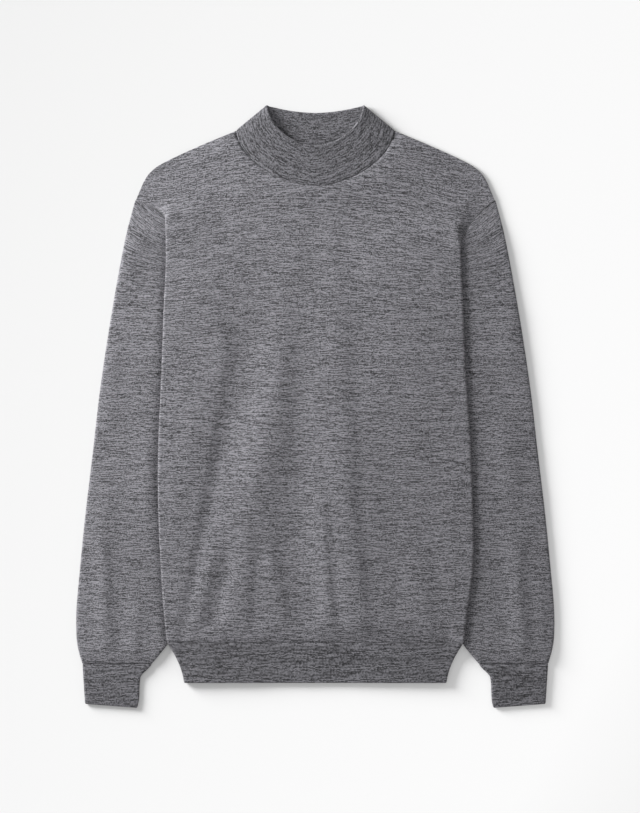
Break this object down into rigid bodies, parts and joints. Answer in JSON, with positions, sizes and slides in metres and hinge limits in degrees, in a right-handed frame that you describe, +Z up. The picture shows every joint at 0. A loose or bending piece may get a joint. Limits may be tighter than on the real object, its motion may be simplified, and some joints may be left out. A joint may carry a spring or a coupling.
{
  "type": "mock neck sweater",
  "caption": "Fine-gauge grey marl knit sweater with a mock neck and ribbed cuffs and hem, laid flat with its front up, sides folded under and sleeves straight down.",
  "frame": {"origin": "middle of the laid sweater's box, on the surface that it lies on", "axes": "+X to the wearer's left, which is the picture's right, +Y towards the neck, +Z up out of the surface"},
  "size_m": [0.5984, 0.7538, 0.0181],
  "materials": {
    "body_knit": "soft matt marl knit",
    "sleeve_knit": "soft matt marl knit",
    "rib_knit": "soft matt fine rib"
  },
  "bodies": {
    "root": {"front": "body_knit", "back": "body_knit", "sleeve_left": "sleeve_knit", "sleeve_right": "sleeve_knit", "cuff_left": "rib_knit", "cuff_right": "rib_knit", "collar": "rib_knit", "hem_band": "rib_knit"}
  },
  "joints": []
}
